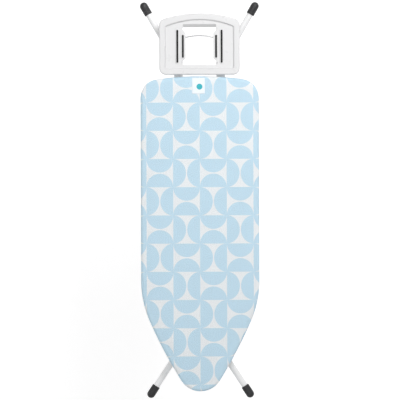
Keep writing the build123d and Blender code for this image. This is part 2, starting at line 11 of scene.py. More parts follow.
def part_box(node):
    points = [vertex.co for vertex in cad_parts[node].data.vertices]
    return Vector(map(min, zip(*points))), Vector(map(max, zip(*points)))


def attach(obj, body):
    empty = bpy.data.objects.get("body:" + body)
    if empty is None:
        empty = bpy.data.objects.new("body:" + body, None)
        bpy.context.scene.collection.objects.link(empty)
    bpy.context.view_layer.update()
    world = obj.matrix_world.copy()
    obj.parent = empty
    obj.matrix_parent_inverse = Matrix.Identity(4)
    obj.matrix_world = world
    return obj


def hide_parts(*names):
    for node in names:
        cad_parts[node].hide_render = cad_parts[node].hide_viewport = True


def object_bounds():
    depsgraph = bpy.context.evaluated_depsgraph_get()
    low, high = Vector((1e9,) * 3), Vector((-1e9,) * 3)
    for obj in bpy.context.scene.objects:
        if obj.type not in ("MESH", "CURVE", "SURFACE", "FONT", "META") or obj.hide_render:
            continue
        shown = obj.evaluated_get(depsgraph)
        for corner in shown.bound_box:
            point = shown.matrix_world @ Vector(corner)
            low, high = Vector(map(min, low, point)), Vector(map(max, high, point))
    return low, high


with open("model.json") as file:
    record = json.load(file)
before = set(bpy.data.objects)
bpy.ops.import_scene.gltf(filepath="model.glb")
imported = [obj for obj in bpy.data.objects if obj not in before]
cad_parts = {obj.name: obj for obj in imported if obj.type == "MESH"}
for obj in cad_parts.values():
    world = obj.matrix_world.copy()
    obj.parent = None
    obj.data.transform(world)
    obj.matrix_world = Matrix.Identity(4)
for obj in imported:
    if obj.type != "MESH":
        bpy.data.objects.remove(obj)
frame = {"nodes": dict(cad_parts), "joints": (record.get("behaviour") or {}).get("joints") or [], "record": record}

# Folding ironing board, folded flat with the cover up. Metres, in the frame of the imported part:
# +X runs from the nose to the iron rest, +Z is up.
cad_low, cad_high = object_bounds()
MM = 0.001

cover_low, cover_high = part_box("cover_cloth")
deck_low, deck_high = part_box("deck_panel")
label_low, label_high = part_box("cover_label")

# --- Driving sizes of the padded board's outline ----------------------------------------------
HALF_WIDTH = cover_high[1]
NOSE_X = cover_low[0]
HEEL_X = cover_high[0]
NOSE_RADIUS = 90 * MM
NOSE_SLOPE = math.radians(32.0)
SIDE_SLOPE = math.radians(23.5)
SHOULDER_RADIUS = 400 * MM
CORNER_RADIUS = 75 * MM
HEEL_RADIUS = 1270 * MM

# --- Cloth ------------------------------------------------------------------------------------
EDGE_ROUND = 11 * MM
HEM_WIDTH = 18 * MM
HEM_WAVE = 0.5 * MM
PUCKER_DEPTH = 0.95 * MM
PUCKER_LIFT = 0.75 * MM
PUCKER_FADE = 16 * MM
TAPE_MIDDLE = HEM_WIDTH - 1.5 * MM
TAPE_HALF_WIDTH = 3.2 * MM
TAPE_HALF_THICKNESS = 1.1 * MM
TAPE_DROP = 0.2 * MM
CLOTH_THICKNESS = 0.9 * MM
CLOTH_PRESSURE = 0.12
CLOTH_FRAMES = 18
CLOTH_CAP = 4.0 * MM
RING_STEP = 8 * MM
GRID_STEP = 11 * MM


# --- Node graph helpers ------------------------------------------------------------------------
class Finish:
    """A procedural material with short calls for its nodes."""

    def __init__(self, name, colour, roughness, **sockets):
        self.material = bpy.data.materials.new(name)
        self.material.use_nodes = True
        self.tree = self.material.node_tree
        self.shader = self.tree.nodes["Principled BSDF"]
        self.shader.inputs["Base Color"].default_value = (*colour, 1.0)
        self.shader.inputs["Roughness"].default_value = roughness
        for socket, value in sockets.items():
            self.shader.inputs[socket.replace("_", " ")].default_value = value
        self.place = self.node("ShaderNodeTexCoord").outputs["Object"]
        self.bump = None

    def node(self, kind, **settings):
        made = self.tree.nodes.new(kind)
        for key, value in settings.items():
            setattr(made, key, value)
        return made

    def feed(self, socket, value):
        """Set a socket to a number, or link it from another socket."""
        if isinstance(value, bpy.types.NodeSocket):
            self.tree.links.new(value, socket)
        else:
            socket.default_value = value

    def math(self, operation, a, b=0.0, c=0.0):
        made = self.node("ShaderNodeMath", operation=operation)
        for socket, value in zip(made.inputs, (a, b, c)):
            self.feed(socket, value)
        return made.outputs[0]

    def axes(self):
        split = self.node("ShaderNodeSeparateXYZ")
        self.feed(split.inputs[0], self.place)
        return split.outputs

    def noise(self, scale, detail=3.0, stretch=(1.0, 1.0, 1.0)):
        mapping = self.node("ShaderNodeMapping")
        self.feed(mapping.inputs["Vector"], self.place)
        mapping.inputs["Scale"].default_value = stretch
        made = self.node("ShaderNodeTexNoise")
        self.feed(made.inputs["Vector"], mapping.outputs[0])
        made.inputs["Scale"].default_value = scale
        made.inputs["Detail"].default_value = detail
        return made.outputs["Fac"]

    def ramp(self, value, low, high, out_low=0.0, out_high=1.0):
        made = self.node("ShaderNodeMapRange", interpolation_type="SMOOTHSTEP")
        for index, number in enumerate((value, low, high, out_low, out_high)):
            self.feed(made.inputs[index], number)
        return made.outputs[0]

    def mix(self, share, first, second):
        made = self.node("ShaderNodeMix", data_type="RGBA")
        self.feed(made.inputs[0], share)
        for socket, value in ((made.inputs[6], first), (made.inputs[7], second)):
            self.feed(socket, (*value, 1.0) if isinstance(value, tuple) else value)
        return made.outputs[2]

    def colour(self, value):
        self.feed(self.shader.inputs["Base Color"], value)

    def rough(self, value):
        self.feed(self.shader.inputs["Roughness"], value)

    def raise_by(self, height, distance, strength=1.0):
        """Add one more bump, in metres of height."""
        made = self.node("ShaderNodeBump")
        made.inputs["Strength"].default_value = strength
        made.inputs["Distance"].default_value = distance
        self.feed(made.inputs["Height"], height)
        if self.bump is not None:
            self.feed(made.inputs["Normal"], self.bump)
        self.bump = made.outputs[0]
        self.feed(self.shader.inputs["Normal"], self.bump)


# --- Materials ----------------------------------------------------------------------------------
def powder_coat():
    """White powder-coated steel: fine orange peel and faint dust."""
    made = Finish("powder_coat_white", (0.78, 0.78, 0.785), 0.34)
    made.raise_by(made.noise(600.0, 2.0), 0.02 * MM, 0.35)
    worn = made.ramp(made.noise(14.0, 4.0), 0.45, 0.7)
    made.colour(made.mix(worn, (0.79, 0.79, 0.795), (0.74, 0.74, 0.74)))
    made.rough(made.ramp(made.noise(30.0), 0.3, 0.7, 0.28, 0.42))
    return made.material


def zinc():
    """Zinc-plated steel: spangled brightness, brushed along X."""
    made = Finish("zinc_plated_steel", (0.5, 0.51, 0.53), 0.3, Metallic=1.0)
    patch = made.noise(120.0, 2.0)
    made.colour(made.mix(patch, (0.42, 0.43, 0.45), (0.58, 0.58, 0.57)))
    made.rough(made.ramp(made.noise(60.0), 0.3, 0.7, 0.22, 0.42))
    made.raise_by(made.noise(700.0, 2.0, (0.06, 1.0, 1.0)), 0.03 * MM, 0.3)
    return made.material


def nylon():
    """Natural nylon of the bushes and spacers."""
    made = Finish("natural_nylon", (0.82, 0.81, 0.76), 0.42)
    made.colour(made.mix(made.noise(40.0), (0.84, 0.83, 0.78), (0.78, 0.77, 0.71)))
    made.raise_by(made.noise(500.0), 0.03 * MM, 0.3)
    return made.material


def black_plastic(name, colour, roughness):
    """Moulded black plastic with a fine spark-eroded grain and a little dust."""
    made = Finish(name, colour, roughness)
    made.raise_by(made.noise(1400.0, 2.0), 0.06 * MM, 0.5)
    light = tuple(min(1.0, part * 1.9 + 0.01) for part in colour)
    made.colour(made.mix(made.ramp(made.noise(70.0, 5.0), 0.5, 0.8), colour, light))
    made.rough(made.ramp(made.noise(90.0), 0.3, 0.7, roughness - 0.08, roughness + 0.1))
    return made.material


def silicone():
    """Black heat-proof silicone of the strips."""
    made = Finish("black_silicone", (0.008, 0.008, 0.009), 0.6, Specular_IOR_Level=0.25)
    made.raise_by(made.noise(800.0, 2.0), 0.04 * MM, 0.4)
    made.rough(made.ramp(made.noise(60.0), 0.3, 0.7, 0.48, 0.66))
    made.colour(made.mix(made.noise(150.0, 4.0), (0.007, 0.007, 0.008), (0.016, 0.016, 0.017)))
    return made.material


def tray_plastic():
    """Satin white moulded plastic of the iron rest."""
    made = Finish("iron_rest_white_plastic", (0.67, 0.67, 0.68), 0.32, Coat_Weight=0.12)
    made.raise_by(made.noise(1100.0, 2.0), 0.03 * MM, 0.35)
    made.colour(made.mix(made.noise(9.0, 3.0), (0.68, 0.68, 0.685), (0.65, 0.65, 0.655)))
    made.rough(made.ramp(made.noise(45.0), 0.3, 0.7, 0.27, 0.4))
    return made.material


def foam():
    """Open-cell polyurethane foam."""
    made = Finish("pad_foam", (0.78, 0.75, 0.64), 0.95)
    cells = made.node("ShaderNodeTexVoronoi")
    made.feed(cells.inputs["Vector"], made.place)
    cells.inputs["Scale"].default_value = 700.0
    made.raise_by(cells.outputs["Distance"], 0.5 * MM, 0.7)
    made.colour(made.mix(made.noise(12.0), (0.80, 0.77, 0.66), (0.72, 0.68, 0.55)))
    return made.material


def woven(made, thread, depth):
    """Plain weave of crossing threads, as bump. Returns the threads' height, from -1 to 1."""
    x, y, z = made.axes()
    turn = 2 * math.pi / thread
    # On the sides of the cover the threads that run along Z show.
    warp = made.math("SINE", made.math("MULTIPLY", made.math("ADD", y, z), turn))
    weft = made.math("SINE", made.math("MULTIPLY", made.math("SUBTRACT", x, z), turn))
    height = made.math("MULTIPLY", warp, weft)
    made.raise_by(height, depth, 0.8)
    return height


# Printed pattern: a checkerboard of cells, each with two half discs back to back.
CELL_LENGTH = 112 * MM
CELL_WIDTH = 106.4 * MM
CELL_START = 387 * MM
DISC_BULGE = 0.478
DISC_EDGE = 0.012
CUT_PLACE = "place_on_flat_cloth"
CLOTH_WHITE = (0.83, 0.86, 0.88)
CLOTH_BLUE = (0.53, 0.725, 0.85)


def half_disc_print(made):
    """Share of ink: half discs back to back in a checkerboard of cells."""
    # The print was on the cloth while it lay flat, so it goes on over the edge.
    cut = made.node("ShaderNodeAttribute", attribute_name=CUT_PLACE)
    split = made.node("ShaderNodeSeparateXYZ")
    made.feed(split.inputs[0], cut.outputs["Vector"])
    x, y, _ = split.outputs
    row = made.math("DIVIDE", made.math("SUBTRACT", x, CELL_START), CELL_LENGTH)
    column = made.math("DIVIDE", y, CELL_WIDTH)
    cells = made.math("ADD", made.math("FLOOR", row), made.math("FLOOR", column))
    odd = made.math("MULTIPLY", made.math("FRACT", made.math("MULTIPLY", cells, 0.5)), 2.0)
    in_row = made.math("FRACT", row)
    in_column = made.math("FRACT", column)
    # Odd cells have their rows and columns exchanged, which turns their half discs by a quarter.
    swing = made.math("SUBTRACT", in_column, in_row)
    across = made.math("ADD", in_row, made.math("MULTIPLY", odd, swing))
    along = made.math("SUBTRACT", in_column, made.math("MULTIPLY", odd, swing))
    from_side = made.math("MINIMUM", across, made.math("SUBTRACT", 1.0, across))
    from_middle = made.math("SUBTRACT", along, 0.5)
    # A half disc is as wide as its cell and bulges not quite to the cell's middle.
    out = made.math("DIVIDE", from_side, DISC_BULGE)
    round_middle = made.math("MULTIPLY", from_middle, 2.0)
    square = made.math("MULTIPLY", out, out)
    reach = made.math("SQRT", made.math("MULTIPLY_ADD", round_middle, round_middle, square))
    return made.ramp(reach, 1.0 - DISC_EDGE, 1.0 + DISC_EDGE, 1.0, 0.0)


def printed_cotton():
    """Cotton cover cloth: the half-disc print, warp slubs, plain weave with painted shade between its threads, and
    a soft sheen.
    """
    sheen = {"Sheen_Weight": 0.12, "Sheen_Roughness": 0.5}
    made = Finish("cover_printed_cotton", CLOTH_WHITE, 0.88, Specular_IOR_Level=0.2, **sheen)
    ink = half_disc_print(made)
    blotch = made.ramp(made.noise(260.0, 4.0), 0.25, 0.6, 0.93, 1.0)
    base = made.mix(made.math("MULTIPLY", ink, blotch), CLOTH_WHITE, CLOTH_BLUE)
    warp_slubs = made.ramp(made.noise(520.0, 3.0, (0.03, 1.0, 1.0)), 0.4, 0.75)
    weft_slubs = made.ramp(made.noise(520.0, 3.0, (1.0, 0.03, 1.0)), 0.45, 0.8)
    slubs = made.math("ADD", warp_slubs, made.math("MULTIPLY", weft_slubs, 0.7))
    shaded = made.mix(made.math("MULTIPLY", slubs, 0.14), base, (0.56, 0.63, 0.68))
    # Painted shade: the cloth is darkened toward grey-blue where the weave's height is lowest, between the
    # threads.
    threads = made.ramp(woven(made, 1.0 * MM, 0.25 * MM), -1.0, 0.2, 0.16, 0.0)
    made.colour(made.mix(threads, shaded, (0.45, 0.53, 0.59)))
    made.raise_by(made.math("ADD", warp_slubs, weft_slubs), 0.15 * MM, 0.6)
    made.raise_by(made.noise(26.0, 3.0), 1.2 * MM, 0.2)
    return made.material


LABEL_WHITE = (0.76, 0.81, 0.86)
DOT_TEAL = (0.021, 0.4, 0.465)
DOT_RADIUS = 11.8 * MM
DOT_EDGE = 0.2 * MM
DOT_OFFSET = (3.5 * MM, 4 * MM)


def label_cloth():
    """White woven label with one plain round printed dot."""
    made = Finish("label_white_satin", LABEL_WHITE, 0.6, Sheen_Weight=0.2)
    x, y, _ = made.axes()
    middle_x = (label_low[0] + label_high[0]) / 2 - DOT_OFFSET[0]
    middle_y = (label_low[1] + label_high[1]) / 2 - DOT_OFFSET[1]
    off_x = made.math("SUBTRACT", x, middle_x)
    off_y = made.math("SUBTRACT", y, middle_y)
    square = made.math("MULTIPLY", off_x, off_x)
    reach = made.math("SQRT", made.math("MULTIPLY_ADD", off_y, off_y, square))
    dot = made.ramp(reach, DOT_RADIUS - DOT_EDGE, DOT_RADIUS + DOT_EDGE, 1.0, 0.0)
    made.colour(made.mix(dot, LABEL_WHITE, DOT_TEAL))
    woven(made, 0.6 * MM, 0.08 * MM)
    return made.material


def binding_tape():
    """White cotton binding round the hem."""
    made = Finish("hem_binding_cotton", (0.8, 0.82, 0.83), 0.9, Sheen_Weight=0.15)
    made.colour(made.mix(made.noise(300.0, 3.0), (0.83, 0.85, 0.86), (0.72, 0.75, 0.77)))
    woven(made, 0.9 * MM, 0.15 * MM)
    return made.material


def thread_cotton():
    """Sewing thread, with its twist."""
    made = Finish("sewing_thread", (0.8, 0.82, 0.84), 0.75)
    made.colour(made.mix(made.noise(900.0), (0.86, 0.87, 0.88), (0.66, 0.70, 0.73)))
    made.raise_by(made.noise(2500.0), 0.05 * MM, 0.6)
    return made.material


CAD_FINISHES = {
    "white_paint": powder_coat(),
    "zinc_steel": zinc(),
    "nylon": nylon(),
    "black_cap_plastic": black_plastic("foot_cap_black_plastic", (0.018, 0.018, 0.02), 0.5),
    "grip_plastic": black_plastic("grip_soft_plastic", (0.03, 0.03, 0.033), 0.62),
    "black_silicone": silicone(),
    "white_plastic": tray_plastic(),
    "foam": foam(),
    "cover_fabric": printed_cotton(),
    "label_fabric": label_cloth(),
}


def finish_cad_nodes():
    """Give every CAD node its slot's procedural material."""
    for sub_part in frame["record"]["subparts"]:
        node = frame["nodes"][sub_part["node"]]
        node.data.materials.clear()
        node.data.materials.append(CAD_FINISHES[sub_part["material_slot"]])


# --- Mesh helpers -------------------------------------------------------------------------------
def add_piece(name, points, faces, material):
    """A smooth-shaded mesh piece that rides on the board."""
    mesh = bpy.data.meshes.new(name)
    mesh.from_pydata([tuple(point) for point in points], [], faces)
    net = bmesh.new()
    net.from_mesh(mesh)
    bmesh.ops.recalc_face_normals(net, faces=net.faces)
    net.to_mesh(mesh)
    net.free()
    mesh.materials.append(material)
    mesh.polygons.foreach_set("use_smooth", [True] * len(mesh.polygons))
    piece = bpy.data.objects.new(name, mesh)
    bpy.context.collection.objects.link(piece)
    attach(piece, "board")
    return piece


def add_modifier(piece, kind, **settings):
    made = piece.modifiers.new(kind.lower(), kind)
    for key, value in settings.items():
        setattr(made, key, value)
    return made


def arc_points(centre, radius, start, end):
    """Points and outward normals along an arc, without its last point. Angles in radians."""
    count = max(3, round(abs(end - start) * abs(radius) / RING_STEP))
    found = []
    for index in range(count):
        angle = start + (end - start) * index / count
        normal = Vector((math.cos(angle), math.sin(angle)))
        found.append((Vector(centre) + normal * radius, normal))
    return found


def outline():
    """Points and outward normals round the padded board, from the nose tip round the left side."""
    rise = HALF_WIDTH - SHOULDER_RADIUS * (1 - math.cos(SIDE_SLOPE))
    rise -= NOSE_RADIUS * math.cos(NOSE_SLOPE)
    run = rise / math.tan((NOSE_SLOPE + SIDE_SLOPE) / 2)
    flank_radius = math.hypot(rise, run) / (2 * math.sin((NOSE_SLOPE - SIDE_SLOPE) / 2))
    nose_end_x = NOSE_X + NOSE_RADIUS * (1 - math.sin(NOSE_SLOPE))
    nose_end = Vector((nose_end_x, NOSE_RADIUS * math.cos(NOSE_SLOPE)))
    up = math.pi / 2
    flank_normal = Vector((math.cos(up + NOSE_SLOPE), math.sin(up + NOSE_SLOPE)))
    shoulder_x = nose_end_x + run + SHOULDER_RADIUS * math.sin(SIDE_SLOPE)
    reach = HEEL_RADIUS - CORNER_RADIUS
    corner_y = HALF_WIDTH - CORNER_RADIUS
    turn = math.asin(corner_y / reach)
    heel_centre = HEEL_X - HEEL_RADIUS
    corner_x = heel_centre + reach * math.cos(turn)
    side_count = round((corner_x - shoulder_x) / RING_STEP)
    half = arc_points((NOSE_X + NOSE_RADIUS, 0), NOSE_RADIUS, math.pi, up + NOSE_SLOPE)
    half += arc_points(
        nose_end - flank_normal * flank_radius, flank_radius, up + NOSE_SLOPE, up + SIDE_SLOPE
    )
    half += arc_points(
        (shoulder_x, HALF_WIDTH - SHOULDER_RADIUS), SHOULDER_RADIUS, up + SIDE_SLOPE, up
    )
    for index in range(side_count):
        x = shoulder_x + (corner_x - shoulder_x) * index / side_count
        half.append((Vector((x, HALF_WIDTH)), Vector((0, 1))))
    half += arc_points((corner_x, corner_y), CORNER_RADIUS, up, turn)
    half += arc_points((heel_centre, 0), HEEL_RADIUS, turn, 0)
    heel = (Vector((HEEL_X, 0)), Vector((1, 0)))
    mirrored = [(Vector((p.x, -p.y)), Vector((n.x, -n.y))) for p, n in reversed(half[1:])]
    return half + [heel] + mirrored


OUTLINE = outline()


def ring(inset, z):
    """One loop of points, moved inwards from the outline."""
    return [Vector((*(point - normal * inset), z)) for point, normal in OUTLINE]


def loops_and_caps(loops, cap_step):
    """Points and faces of stacked rings, closed at both ends, and the low cap's first face."""
    count = len(OUTLINE)
    points = [point for loop in loops for point in loop]
    faces = []
    for level in range(len(loops) - 1):
        for index in range(count):
            after = (index + 1) % count
            low = level * count
            faces.append((low + index, low + after, low + count + after, low + count + index))
    fill_ring(points, faces, 0, cap_step, False)
    low_cap_start = len(faces)
    fill_ring(points, faces, (len(loops) - 1) * count, cap_step * 2, True)
    return points, faces, low_cap_start


def fill_ring(points, faces, start, step, downwards):
    """Fill one ring with triangles on a staggered grid, so that the net can bend evenly."""
    count = len(OUTLINE)
    border = [points[start + index] for index in range(count)]
    z = border[0].z
    flat = [Vector((point.x, point.y)) for point in border]
    centre_line = [(p.x, abs(p.y)) for p in border if p.y >= 0]
    row_step = step * math.sqrt(3) / 2
    margin = step * 0.6
    weld_distance = 1e-7
    inner = []
    low_x = min(point.x for point in flat)
    high_x = max(point.x for point in flat)
    for row in range(1, int((high_x - low_x) / row_step)):
        x = low_x + row * row_step
        half = half_width_at(centre_line, x) - margin
        columns = int(half / step) + 1
        for column in range(-columns, columns + 1):
            y = (column + (row % 2) / 2) * step
            if abs(y) < half and x < high_x - margin:
                inner.append(Vector((x, y)))
    edges = [(index, (index + 1) % count) for index in range(count)]
    net = delaunay_2d_cdt(flat + inner, edges, [], 1, weld_distance)
    spots, _, triangles, sources, _, _ = net
    numbers = []
    for spot, source in zip(spots, sources):
        if source and source[0] < count:
            numbers.append(start + source[0])
        else:
            numbers.append(len(points))
            points.append(Vector((spot.x, spot.y, z)))
    for triangle in triangles:
        corners = [numbers[index] for index in triangle]
        faces.append(tuple(corners) if downwards else tuple(reversed(corners)))


def half_width_at(border, x):
    """Half the width of a symmetrical outline at x."""
    best = 0.0
    for (x1, y1), (x2, y2) in zip(border, border[1:]):
        if min(x1, x2) <= x <= max(x1, x2) and x1 != x2:
            best = max(best, y1 + (y2 - y1) * (x - x1) / (x2 - x1))
    return best


def quarter(inset, z, radius, steps, start, end):
    """(inset, height) pairs on a rounded edge, angles from the outward direction."""
    pairs = []
    for index in range(steps + 1):
        angle = math.radians(start + (end - start) * index / steps)
        pairs.append((inset - radius * math.cos(angle), z + radius * math.sin(angle)))
    return pairs


# --- Cover --------------------------------------------------------------------------------------
def cover_profile():
    """(inset, height) of each ring, from the flat top round the edge to the hem."""
    top = cover_high[2]
    low = cover_low[2]
    fold = 2.4 * MM
    pairs = [(EDGE_ROUND + 12 * MM, top), (EDGE_ROUND + 6 * MM, top)]
    pairs += quarter(EDGE_ROUND, top - EDGE_ROUND, EDGE_ROUND, 6, 90, 0)
    pairs += [(0.0, low + 9 * MM), (0.1 * MM, low + 5 * MM)]
    pairs += quarter(fold, low + fold, fold, 3, 0, -90)
    pairs += [(HEM_WIDTH * 0.4, low), (HEM_WIDTH * 0.7, low), (HEM_WIDTH, low + 0.3 * MM)]
    return pairs


def inflate(piece, free, pressure, frames, cap):
    """Blow the cloth up with the cloth solver, pinned where free is 0, and keep the result."""
    rest = [vertex.co.copy() for vertex in piece.data.vertices]
    pins = piece.vertex_groups.new(name="pins")
    for index, share in enumerate(free):
        pins.add([index], 1.0 - share, "REPLACE")
    cloth = add_modifier(piece, "CLOTH")
    settings = cloth.settings
    settings.quality = 6
    settings.mass = 0.25
    settings.air_damping = 4.0
    settings.tension_stiffness = 40.0
    settings.compression_stiffness = 20.0
    settings.shear_stiffness = 10.0
    settings.bending_stiffness = 2.0
    settings.use_pressure = True
    settings.uniform_pressure_force = pressure
    settings.vertex_group_mass = pins.name
    settings.effector_weights.gravity = 0.0
    cloth.point_cache.frame_end = frames
    scene = bpy.context.scene
    for number in range(1, frames + 1):
        scene.frame_set(number)
    shaped = piece.evaluated_get(bpy.context.evaluated_depsgraph_get())
    moved = [vertex.co.copy() for vertex in shaped.data.vertices]
    piece.modifiers.remove(cloth)
    piece.vertex_groups.remove(pins)
    scene.frame_set(1)
    for vertex, before, after in zip(piece.data.vertices, rest, moved):
        shift = after - before
        length = shift.length
        # Ease into the cap instead of cutting it off, so that no ridge shows.
        if length > 0:
            shift *= cap * math.tanh(length / cap) / length
        vertex.co = before + shift


def pucker(travelled):
    """Height of the gathered hem's uneven puckers along its run, from -1 to 1."""
    return math.sin(travelled / (9.5 * MM) + 1.7 * math.sin(travelled / (61 * MM)))


def gather(piece, profile):
    """Puckers of the gathered hem, which fade out up the side of the cover."""
    count = len(OUTLINE)
    low = cover_low[2]
    travelled = 0.0
    for index in range(count):
        point, normal = OUTLINE[index]
        travelled += (OUTLINE[(index + 1) % count][0] - point).length
        wave = pucker(travelled)
        # Some puckers are deeper than others.
        wave *= 0.75 + 0.25 * math.sin(travelled / (23 * MM))
        # The hem gathers most where the outline bends, at the heel's corners and the nose.
        at_end = point.x > HEEL_X - 130 * MM or point.x < NOSE_X + 110 * MM
        bend = 1.0 if at_end else 0.55
        for level, (inset, z) in enumerate(profile):
            near = max(0.0, 1.0 - (z - low) / PUCKER_FADE)
            depth = PUCKER_DEPTH * near * bend
            vertex = piece.data.vertices[level * count + index]
            turned_under = inset > 3 * MM and z < low + 2 * MM
            if turned_under:
                vertex.co.z += PUCKER_LIFT * bend * wave
            else:
                vertex.co.x += normal.x * depth * wave
                vertex.co.y += normal.y * depth * wave


def mark_cut_places(piece, profile, points):
    """Store where each point of the cover lay on the flat cloth, before it went over the edge."""
    flat = [Vector((point.x, point.y, 0.0)) for point in points]
    inset = profile[0][0]
    for level in range(1, len(profile)):
        inset -= math.dist(profile[level - 1], profile[level])
        start = level * len(OUTLINE)
        flat[start:start + len(OUTLINE)] = ring(inset, 0.0)
    place = piece.data.attributes.new(CUT_PLACE, "FLOAT_VECTOR", "POINT")
    place.data.foreach_set("vector", [value for point in flat for value in point])


def make_cover(material):
    """The cover: one tight sheet over the pad, its edge turned under and gathered."""
    profile = cover_profile()
    loops = [ring(inset, z) for inset, z in profile]
    points, faces, low_cap_start = loops_and_caps(loops, GRID_STEP)
    cover = add_piece("cover_printed_cloth", points, faces, material)
    mark_cut_places(cover, profile, points)
    hem_level = cover_low[2] + 3 * MM
    count = len(OUTLINE)
    last = len(profile) * count
    top_net = [index for index in range(last, len(points)) if points[index].z > hem_level]
    free = [0.0] * len(points)
    for level, (_, z) in enumerate(profile):
        share = min(1.0, max(0.0, (z - hem_level) / (12 * MM)))
        for index in range(count):
            free[level * count + index] = share
    for index in top_net:
        free[index] = 1.0
    inflate(cover, free, CLOTH_PRESSURE, CLOTH_FRAMES, CLOTH_CAP)
    gather(cover, profile)
    net = bmesh.new()
    net.from_mesh(cover.data)
    net.faces.ensure_lookup_table()
    bmesh.ops.delete(net, geom=net.faces[low_cap_start:], context="FACES")
    net.to_mesh(cover.data)
    net.free()
    add_modifier(cover, "SOLIDIFY", thickness=CLOTH_THICKNESS, offset=-1.0)
    add_modifier(cover, "SUBSURF", levels=1, render_levels=1)
    return cover


def make_binding(material):
    """Flat tape sewn over the hem's inner edge, with its gathers."""
    sides = 8
    count = len(OUTLINE)
    points = []
    faces = []
    travelled = 0.0
    for index in range(count):
        point, normal = OUTLINE[index]
        travelled += (OUTLINE[(index + 1) % count][0] - point).length
        wave = HEM_WAVE * pucker(travelled)
        middle = point - normal * TAPE_MIDDLE
        for side in range(sides):
            angle = 2 * math.pi * side / sides
            out = TAPE_HALF_WIDTH * math.cos(angle)
            up = TAPE_HALF_THICKNESS * math.sin(angle)
            spot = middle + normal * out
            points.append(Vector((spot.x, spot.y, cover_low[2] - TAPE_DROP + up + wave)))
    for index in range(count):
        after = (index + 1) % count
        for side in range(sides):
            around = (side + 1) % sides
            faces.append(
                (
                    index * sides + side,
                    index * sides + around,
                    after * sides + around,
                    after * sides + side,
                )
            )
    binding = add_piece("cover_hem_binding", points, faces, material)
    add_modifier(binding, "SUBSURF", levels=1, render_levels=1)
    return binding


# --- Foam pad -----------------------------------------------------------------------------------
def make_pad(material):
    """Foam pad under the cover, lapping the deck's edge."""
    low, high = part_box("foam_pad")
    lip = deck_low[0] - low[0]
    top = high[2]
    bottom = deck_high[2] + 0.1 * MM
    start = low[0] - NOSE_X
    round_edge = EDGE_ROUND - 1.6 * MM
    profile = [(start + 20 * MM, top), (start + round_edge + 4 * MM, top)]
    profile += quarter(start + round_edge, top - round_edge, round_edge, 5, 90, 0)
    profile += [(start, low[2] + 1 * MM), (start + 1 * MM, low[2])]
    profile += [(start + lip - 0.4 * MM, low[2]), (start + lip - 0.3 * MM, bottom)]
    profile += [(start + lip + 8 * MM, bottom)]
    loops = [ring(inset, z) for inset, z in profile]
    points, faces, _ = loops_and_caps(loops, GRID_STEP * 2)
    return add_piece("pad_of_foam", points, faces, material)


# --- Label --------------------------------------------------------------------------------------
def surface_tree(piece):
    """The piece's finished surface, for laying things on it."""
    graph = bpy.context.evaluated_depsgraph_get()
    return BVHTree.FromObject(piece, graph)


def laid_height(tree, x, y):
    """Height of the cover's surface at a place."""
    hit, _, _, _ = tree.ray_cast(Vector((x, y, 1.0)), Vector((0, 0, -1)))
    return hit.z if hit else cover_high[2]


def make_label(tree, material):
    """Woven label, laid on the cover, as a thin closed sheet with soft corners."""
    width = label_high[1] - label_low[1]
    length = label_high[0] - label_low[0]
    columns = 24
    rows = round(columns * length / width)
    corner = 3 * MM
    lift = 0.25 * MM
    thick = 0.35 * MM
    middle = Vector(((label_low[0] + label_high[0]) / 2, (label_low[1] + label_high[1]) / 2))
    points = []
    for layer in range(2):
        for row in range(rows + 1):
            for column in range(columns + 1):
                off = Vector(((row / rows - 0.5) * length, (column / columns - 0.5) * width))
                over_x = max(0.0, abs(off.x) - length / 2 + corner)
                over_y = max(0.0, abs(off.y) - width / 2 + corner)
                reach = math.hypot(over_x, over_y)
                if reach > corner:
                    off.x -= math.copysign(over_x * (1 - corner / reach), off.x)
                    off.y -= math.copysign(over_y * (1 - corner / reach), off.y)
                spot = middle + off
                z = laid_height(tree, spot.x, spot.y) + lift - layer * thick
                points.append(Vector((spot.x, spot.y, z)))
    faces = []
    per_layer = (rows + 1) * (columns + 1)
    for row in range(rows):
        for column in range(columns):
            first = row * (columns + 1) + column
            quad = (first, first + 1, first + columns + 2, first + columns + 1)
            faces.append(tuple(reversed(quad)))
            faces.append(tuple(index + per_layer for index in quad))
    border = list(range(columns))
    border += [row * (columns + 1) + columns for row in range(rows)]
    border += [rows * (columns + 1) + column for column in range(columns, 0, -1)]
    border += [row * (columns + 1) for row in range(rows, 0, -1)]
    for index, first in enumerate(border):
        after = border[(index + 1) % len(border)]
        faces.append((first, after, after + per_layer, first + per_layer))
    return add_piece("cover_label_cloth", points, faces, material)


def stitch(points, faces, place, along, length, radius):
    """One small raised stitch: a tapered, bowed capsule."""
    across = Vector((-along.y, along.x, 0))
    up = Vector((0, 0, 1))
    start = len(points)
    stations = 5
    sides = 6
    for station in range(stations):
        # Thin at both ends, and thickest and highest in the middle.
        share = station / (stations - 1)
        swell = radius * (0.35 + 0.65 * math.sin(math.pi * (0.08 + 0.84 * share)))
        bow = radius * 0.9 * math.sin(math.pi * share)
        centre = place + along * (share - 0.5) * length + Vector((0, 0, bow))
        for side in range(sides):
            angle = 2 * math.pi * side / sides
            out = across * swell * math.cos(angle)
            points.append(centre + out + up * (swell * math.sin(angle)))
    for station in range(stations - 1):
        for side in range(sides):
            first = start + station * sides + side
            after = start + station * sides + (side + 1) % sides
            faces.append((first, after, after + sides, first + sides))
    faces.append(tuple(start + side for side in reversed(range(sides))))
    last = start + (stations - 1) * sides
    faces.append(tuple(last + side for side in range(sides)))


